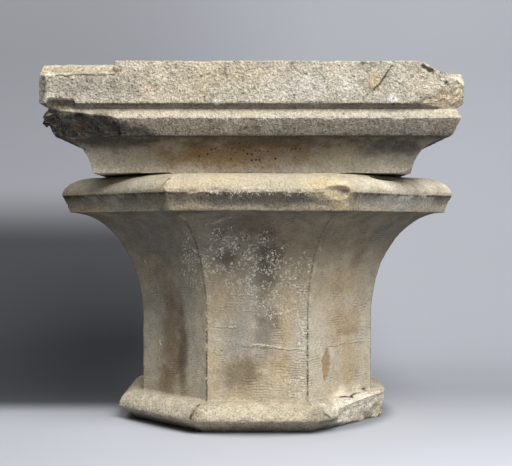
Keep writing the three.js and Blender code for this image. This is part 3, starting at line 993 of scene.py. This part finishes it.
capitalLook = {
    "toolSpacing": 0.0025,
    "toolMarks": 1.0,
    "lineWaver": 5.0,
    "tornSize": 14.0,
    "driftSize": 0.09,
    "warm": (204, 187, 156),
    "cool": (184, 176, 158),
    "smudge": 0.3,
    "smudgeTone": (150, 134, 108),
    "bloom": 0.25,
    "bloomTone": (206, 194, 168),
    "dust": 0.4,
    "dustTone": (196, 184, 160),
    "breakShow": 0.7,
    "breakTone": (214, 199, 168),
    # grime and painted shade: how strongly it is laid on, and its colour
    "shadeAndGrimeShow": 0.85,
    "shadeAndGrimeTone": (79, 75, 68),
    "chipShow": 0.8,
    "chipTone": (218, 208, 186),
    "earthTone": (150, 124, 90),
    "earthShow": 0.8,
    "gritMiddle": 0.47,
    "pitShade": 0.3,
    "leastGain": 0.12,
    "rimShow": 0.8,
    "gritFine": 0.5,
    "gritCoarse": 1.1,
    "lineShade": 0.16,
    "speckTone": (226, 218, 198),
    "speckShare": 0.02,
    "crackAndShadowTone": (62, 54, 44),
    "scratchTone": (226, 220, 204),
    "bumpDepth": 0.0016,
    "stainsAndShading": [
        # front facet: bell
        patch(0, (-6, 190, 150), (44, 34, 18), (86, 68, 56), 0.4),
        patch(0, (-29, 162, 128), (17, 24, 17), (92, 84, 76), 0.75),
        patch(0, (11, 162, 128), (19, 34, 44), (90, 83, 75), 0.8, ragged=0.4),
        patch(0, (8, 134, 119), (10, 20, 22), (120, 106, 90), 0.5),
        patch(0, (-34, 118, 116), (26, 20, 44), (180, 156, 120), 0.5),
        patch(0, (28, 101, 115), (22, 16, 42), (192, 166, 124), 0.6),
        # front facet: shaft
        patch(0, (-12, 86, 115), (32, 16, 40), (150, 146, 138), 0.75),
        patch(0, (9, 98, 115), (20, 16, 27), (122, 114, 104), 0.75),
        patch(0, (10, 66, 115), (40, 16, 22), (150, 138, 118), 0.5),
        patch(0, (-16, 53, 115), (34, 16, 24), (122, 106, 80), 0.8, ragged=0.4),
        patch(0, (-42, 60, 115), (14, 14, 44), (186, 164, 126), 0.5),
        patch(0, (26, 54, 115), (26, 14, 26), (196, 170, 128), 0.5),
        patch(0, (41, 82, 115), (15, 14, 60), (186, 180, 166), 0.5),
        # left front facet
        patch(-45, (-3, 84, 116), (27, 20, 84), (118, 96, 72), 0.75, ragged=0.35),
        patch(-45, (14, 72, 115), (11, 14, 60), (92, 76, 60), 0.75, ragged=0.35),
        patch(-45, (-8, 42, 115), (30, 14, 20), (134, 114, 82), 0.6),
        patch(-45, (-8, 180, 139), (60, 44, 40), (116, 115, 110), 0.55),
        patch(-45, (0, 234, 182), (100, 36, 24), (208, 200, 180), 0.75),
        patch(-45, (66, 206, 183), (8, 10, 6), (120, 128, 130), 0.85),
        # right front facet
        patch(45, (0, 120, 118), (60, 30, 80), (204, 192, 170), 0.4),
        patch(45, (11, 160, 127), (14, 22, 24), (128, 112, 90), 0.6, lean=-20),
        patch(45, (0, 136, 119), (42, 20, 24), (178, 156, 122), 0.55),
        patch(45, (4, 97, 115), (38, 16, 26), (170, 144, 106), 0.65),
        patch(45, (12, 60, 115), (22, 16, 36), (174, 150, 112), 0.65),
        patch(45, (12, 88, 115), (22, 14, 8), (136, 116, 88), 0.55),
        patch(45, (-38, 70, 115), (16, 14, 70), (196, 186, 166), 0.5),
        # abacus: cream breaks on the front ridge and the right front corner
        # a dark band of painted shade under the front ridge
        patch(0, (0, 215, 187), (90, 16, 8), (92, 87, 79), 0.7, softness=0.5),
        patch(45, (6, 213, 187), (84, 16, 11), (182, 177, 164), 0.75),
        patch(0, (-10, 227, 188), (92, 20, 9), (196, 184, 158), 0.6),
        patch(0, (60, 225, 186), (24, 22, 14), (214, 194, 154), 0.8),
        patch(0, (74, 217, 187), (15, 20, 14), (212, 194, 156), 0.85),
        patch(45, (10, 232, 184), (90, 30, 16), (236, 226, 206), 0.8),
        patch(90, (-50, 230, 184), (60, 30, 16), (222, 210, 188), 0.6),
        # neck: pale break on the right, painted paler still on the right front as a painted highlight on
        # its shaded cut; grey leavings in it
        patch(0, (0, 22, 132), (90, 24, 18), (224, 211, 184), 0.5),
        patch(45, (10, 18, 130), (74, 30, 24), (250, 240, 218), 1.0),
        patch(90, (-40, 18, 132), (50, 26, 22), (232, 220, 194), 0.8),
        patch(-45, (0, 21, 132), (76, 24, 16), (218, 206, 182), 0.7),
        patch(45, (-42, 11, 138), (24, 14, 5), (128, 118, 104), 0.9, ragged=0.3),
        patch(0, (-56, 18, 134), (8, 12, 14), (150, 130, 100), 0.6),
        patch(0, (55, 18, 134), (14, 14, 14), (140, 130, 110), 0.6),
    ],
    "dotted": [
        patch(0, (-10, 176, 135), (50, 30, 30), strength=0.5),
        patch(-45, (0, 60, 115), (46, 12, 40), strength=0.25),
    ],
    "speckled": [
        patch(0, (10, 146, 122), (60, 40, 46), ragged=0.8),
        patch(0, (-18, 166, 129), (62, 44, 40), strength=0.9, ragged=0.8),
        patch(0, (28, 122, 116), (36, 20, 28), ragged=0.8),
        patch(0, (42, 96, 115), (14, 14, 80), strength=0.6),
        patch(-45, (36, 150, 122), (20, 30, 40), strength=0.8),
        patch(0, (36, 42, 115), (20, 14, 20), strength=0.8),
        patch(0, (-10, 222, 189), (90, 14, 7), strength=0.8),
        patch(45, (20, 222, 189), (60, 14, 6), strength=0.6),
        patch(45, (10, 18, 132), (60, 20, 16), strength=0.7),
    ],
    "cracksAndShadowLines": [
        hair(0, 1.1, 0.5, (-47.6, 97.5, 115), (-22, 97.3, 115)),
        hair(0, 1.0, 0.6, (-34, 75.5, 115), (-28, 77, 115)),
        hair(0, 0.9, 0.5, (-13, 79, 115), (22, 77, 115), (47.6, 75.2, 115)),
        hair(45, 0.9, 0.5, (-23, 76, 115), (6.3, 77.4, 115), (45, 77, 115)),
        # mitres of the abacus
        hair(0, 1.3, 0.75, (-75.9, 233.7, 182.1), (-80.5, 227, 184), (-83.2, 219.3, 184.1)),
        hair(45, 1.5, 0.6, (-72, 236, 178), (-70, 229, 184), (-69, 222, 189)),
        # under the ridge: a dark line of painted shadow, not a crack
        hair(-45, 1.6, 0.5, (-78, 220.5, 190), (0, 220.5, 190), (78, 220.5, 190)),
        hair(0, 1.7, 0.6, (-78, 219.5, 190), (0, 219, 190), (62, 219.5, 190)),
        hair(45, 1.8, 0.6, (-66, 220, 190), (0, 220, 190), (78, 220, 190)),
        # neck
        hair(45, 2.6, 0.95, (-8, 28.6, 122), (1, 27.6, 127), (12, 29.2, 121), (38, 30, 116)),
        hair(-45, 2.2, 0.8, (52, 27.6, 127), (52.5, 22, 134), (51, 15, 138)),
        hair(45, 1.8, 0.7, (-52, 24, 131), (-49, 18, 136), (-42, 15, 138)),
        hair(45, 1.6, 0.6, (46, 26, 128), (50, 18, 136), (46, 8, 134)),
    ],
    "scratches": [
        hair(0, 1.0, 0.8, (-4, 81, 115), (4, 80.6, 115), (22, 79, 115)),
        hair(0, 0.9, 0.6, (26, 77.6, 115), (47.6, 76.6, 115)),
        hair(0, 0.8, 0.6, (-40, 98, 115), (-20, 97.8, 115)),
        hair(0, 0.8, 0.45, (-10, 97.6, 115), (0, 97, 115)),
        hair(45, 0.9, 0.6, (-47.6, 76.4, 115), (-24, 76.8, 115)),
        hair(45, 0.8, 0.5, (0, 78.4, 115), (46, 78, 115)),
        hair(0, 0.9, 0.5, (-40, 194, 152), (-23, 200, 162)),
        hair(0, 0.7, 0.4, (-46, 193, 151), (-30, 199, 160)),
        hair(-45, 1.0, 0.5, (-17, 198, 158), (-11, 194, 153)),
        hair(-45, 2.0, 0.9, (-20.6, 78.4, 115), (-19.6, 75.5, 115)),
        hair(-45, 1.4, 0.8, (-31, 158, 125), (-30.4, 155.5, 125)),
    ],
}

impostLook = {
    **capitalLook,
    "toolMarks": 0.0,
    "warm": (211, 199, 176),
    "cool": (192, 184, 168),
    "smudge": 0.4,
    "smudgeTone": (158, 146, 122),
    "bloom": 0.4,
    "bloomTone": (212, 203, 184),
    "gritFine": 0.55,
    "gritCoarse": 1.5,
    "speckShare": 0.12,
    "shadeAndGrimeTone": (82, 76, 67),
    "bumpDepth": 0.0018,
    "stainsAndShading": [
        # band: cream spall at the top left, its brown step, pale flakes
        patch(0, (-155, 329, 176), (37, 16, 6.5), (180, 166, 140), 0.9, softness=0.35),
        patch(0, (-121, 327, 182), (5, 16, 5), (128, 98, 66), 0.85, lean=20),
        patch(0, (-182, 322, 183), (5.5, 12, 3), (236, 228, 208), 0.95, softness=0.4),
        patch(0, (-179, 304.5, 183), (4, 10, 4), (238, 232, 216), 0.95, softness=0.4),
        patch(0, (-150, 312, 185), (62, 12, 18), (158, 152, 140), 0.6),
        patch(0, (-94, 311, 185), (11, 10, 7), (206, 180, 152), 0.45),
        patch(0, (-73, 323.5, 185), (5, 10, 2.5), (86, 68, 62), 0.8, lean=-25),
        patch(0, (-30, 324, 185), (70, 12, 16), (198, 178, 144), 0.4),
        patch(0, (48, 312, 185), (64, 12, 18), (216, 211, 200), 0.5),
        patch(0, (102, 318, 185), (12, 10, 14), (206, 182, 132), 0.5, lean=-35),
        patch(0, (91, 333, 185), (4, 10, 2), (84, 74, 56), 0.85),
        patch(0, (30, 333.5, 185), (3, 10, 1.8), (96, 84, 66), 0.7),
        patch(0, (118, 302.5, 185), (6, 10, 3.6), (240, 236, 226), 0.95, softness=0.4),
        patch(0, (118, 298, 183), (1.6, 8, 1.6), (84, 62, 50), 0.9),
        patch(0, (-36, 300, 184), (5, 10, 3), (234, 228, 212), 0.8, softness=0.4),
        # band: the broken right end
        patch(0, (164, 303, 180), (20, 22, 11), (214, 190, 156), 0.6),
        patch(0, (172, 320, 176), (13, 30, 7), (236, 226, 202), 0.8),
        # fillet
        patch(0, (75, 289.4, 180.6), (1.8, 8, 1.8), (60, 48, 40), 0.9),
        patch(0, (-102, 287.5, 181), (9, 10, 3), (226, 206, 186), 0.6),
        # chamfer: dark lumpy left end, streaks
        patch(0, (-156, 281, 174), (44, 26, 13.5), (66, 63, 58), 0.95, softness=0.45),
        patch(0, (-125, 275, 176), (40, 16, 6.5), (70, 66, 60), 0.9, softness=0.5),
        patch(0, (-156, 279, 173), (9, 16, 4), (122, 88, 60), 0.7),
        patch(0, (-168, 285, 175), (14, 16, 3), (128, 122, 110), 0.45, lean=-12),
        patch(0, (20, 281, 180), (3, 10, 6), (186, 182, 172), 0.5),
        patch(0, (59, 281, 180), (12, 10, 5), (126, 120, 88), 0.35),
        patch(0, (78, 273, 177), (8, 10, 3.4), (84, 66, 48), 0.7),
        patch(0, (-182, 285, 178), (13, 44, 14), (64, 61, 56), 0.95, softness=0.4),
        patch(0, (-186, 312, 184), (5, 16, 26), (92, 88, 80), 0.8, ragged=0.3),
        # painted shade along the top of the cavetto, under the chamfer
        patch(0, (-130, 267, 164), (84, 30, 10), (62, 58, 53), 0.8),
        # cavetto: warm stain in the middle, olive to the left, and a dark band of painted shade along its
        # top under the chamfer
        patch(0, (-16, 256, 150), (90, 26, 18), (158, 124, 82), 0.6),
        patch(0, (-50, 252, 149), (50, 24, 14), (168, 138, 98), 0.5),
        patch(0, (0, 266, 162), (120, 20, 8), (78, 66, 52), 0.6),
        patch(0, (-118, 250, 148), (56, 26, 18), (164, 154, 128), 0.45),
        patch(0, (120, 264, 158), (60, 24, 13), (62, 59, 55), 0.75),
    ],
    "dotted": [
        patch(0, (-8, 258, 151), (62, 24, 15), strength=0.9, softness=0.9),
        patch(0, (-60, 254, 149), (30, 20, 12), strength=0.4, softness=0.9),
    ],
    "speckled": [
        patch(0, (-150, 300, 185), (40, 12, 5), strength=0.4),
        patch(0, (-40, 299.5, 185), (110, 12, 3), strength=0.6),
        patch(0, (0, 286.5, 182), (190, 12, 3), strength=1.0, softness=0.7, ragged=0.3),
        patch(0, (40, 312, 185), (60, 12, 12), strength=0.4),
    ],
    "cracksAndShadowLines": [
        hair(0, 1.3, 0.7, (-181, 320, 184), (-170, 322.5, 184), (-148, 323.3, 184), (-124, 322.6, 184)),
        hair(0, 1.5, 0.85, (116.6, 330.4, 184.7), (111.4, 323.5, 184.7), (107.1, 316.6, 184.7),
             (101, 309.7, 184.7)),
        hair(0, 1.1, 0.45, (101, 309.7, 184.7), (92.4, 303.6, 184.7)),
        hair(0, 1.1, 0.45, (94, 334, 184.7), (103, 326, 184.7), (108, 318, 184.7)),
        hair(0, 3.0, 0.95, (144, 330.6, 184), (150, 325.5, 183), (155, 323.6, 182), (164, 315.4, 183)),
        hair(0, 1.8, 0.6, (136, 298.6, 184), (149, 301.5, 184), (156, 305, 184)),
        hair(0, 1.2, 0.5, (150, 296, 181), (160, 302, 181), (170, 310, 181)),
        hair(0, 0.9, 0.6, (-104, 289, 180), (-98, 285.5, 181)),
        hair(0, 0.9, 0.6, (-104, 286, 181), (-99, 290, 180)),
    ],
    "scratches": [
        hair(0, 1.1, 0.7, (-92.7, 322.7, 184.7), (-63.3, 320.1, 184.7)),
        hair(0, 1.2, 0.7, (149, 303.5, 184), (158, 309.7, 184), (165, 315.2, 183)),
        hair(0, 0.9, 0.5, (97, 329.6, 184.7), (105, 322.7, 184.7)),
    ],
}


bpy.context.scene.view_settings.view_transform = "Standard"
makeCamera()
makeAir()
makeLight("keyLight", studio["keyAt"], studio["keySize"], studio["keyPower"])
makeLight("topLight", studio["topAt"], studio["topSize"], studio["topPower"])
makeSweep()
print("studio ready")

groups["stoneGrain"] = stoneGrainGroup()
groups["toolLines"] = toolLinesGroup()
groups["hairline"] = hairlineGroup()
sweptStone = sweptStoneTree()
capitalStone = limestone("capitalLimestone", capitalLook)
impostStone = limestone("impostLimestone", impostLook)
print("stone finishes ready")

capital = buildStone(
    "weathered_capital", "octagonal_capital", sweptStone,
    planLine("capitalPlan", capitalSizes["columnsPerSide"], capitalSizes["wearPerSide"]),
    profileLine("capitalProfile", capitalProfile()), capitalWear, capitalStone,
)
pressMarks(capital, capitalMarks)
paintPatches(capital, capitalLook)
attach(capital, "root")
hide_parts("octagonal_capital")

impost = buildStone(
    "weathered_impost", "impost_block", sweptStone,
    planLine("impostPlan", impostSizes["columnsPerSide"], impostSizes["wearPerSide"]),
    profileLine("impostProfile", impostProfile()), impostWear, impostStone,
)
pressMarks(impost, [])
paintPatches(impost, impostLook)
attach(impost, "root")
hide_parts("impost_block")
print("stones built")
